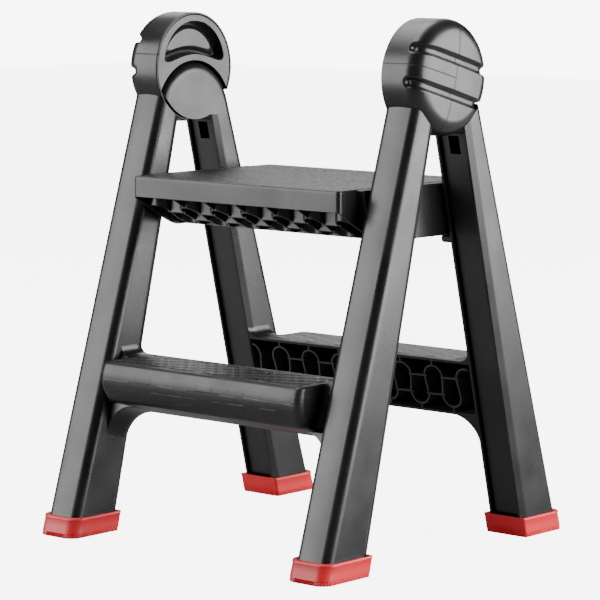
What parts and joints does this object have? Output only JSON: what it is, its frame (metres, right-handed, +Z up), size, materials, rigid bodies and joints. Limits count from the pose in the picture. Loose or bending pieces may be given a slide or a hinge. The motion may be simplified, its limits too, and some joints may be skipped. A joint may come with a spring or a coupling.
{
  "type": "folding step stool",
  "caption": "Folding two-sided step stool in moulded plastic with round hinge housings, a low tread on each frame, a lifting top tread and rubber feet.",
  "frame": {"origin": "on the floor, under the middle of the open stool", "axes": "+X along the width, towards the right housing; +Y from front to rear; +Z up"},
  "size_m": [0.454, 0.4426, 0.6112],
  "materials": {
    "charcoal": "satin charcoal polypropylene, fine moulded grain",
    "cover": "dark moulded plastic",
    "red": "satin red rubber",
    "nylon": "black nylon",
    "steel": "zinc plated steel"
  },
  "bodies": {
    "front_frame": {"front_frame": "charcoal", "leg_cover_front_left": "cover", "leg_cover_front_right": "cover", "foot_cap_front_left": "red", "foot_cap_front_right": "red", "grip_cap_left": "charcoal", "grip_cap_right": "charcoal", "finger_plate_left": "charcoal", "finger_plate_right": "charcoal", "hinge_pin_left": "steel", "hinge_pin_right": "steel", "thrust_washer_left": "nylon", "thrust_washer_right": "nylon", "cap_screw_front_left": "steel", "cap_screw_front_right": "steel", "cap_screw_rear_left": "steel", "cap_screw_rear_right": "steel", "tread_pivot_left": "nylon", "tread_pivot_right": "nylon"},
    "rear_frame": {"rear_frame": "charcoal", "leg_cover_rear_left": "cover", "leg_cover_rear_right": "cover", "foot_cap_rear_left": "red", "foot_cap_rear_right": "red", "tread_peg_left": "nylon", "tread_peg_right": "nylon"},
    "top_tread": {"top_tread": "charcoal"}
  },
  "joints": [
    {"name": "rear_frame_fold", "type": "hinge", "parent": "front_frame", "child": "rear_frame", "pos_m": [0, 0, 0.4885], "axis": [-1, 0, 0], "range_deg": [0, 27]},
    {"name": "top_tread_lift", "type": "hinge", "parent": "front_frame", "child": "top_tread", "pos_m": [0, -0.0732, 0.395], "axis": [1, 0, 0], "range_deg": [0, 78]}
  ]
}
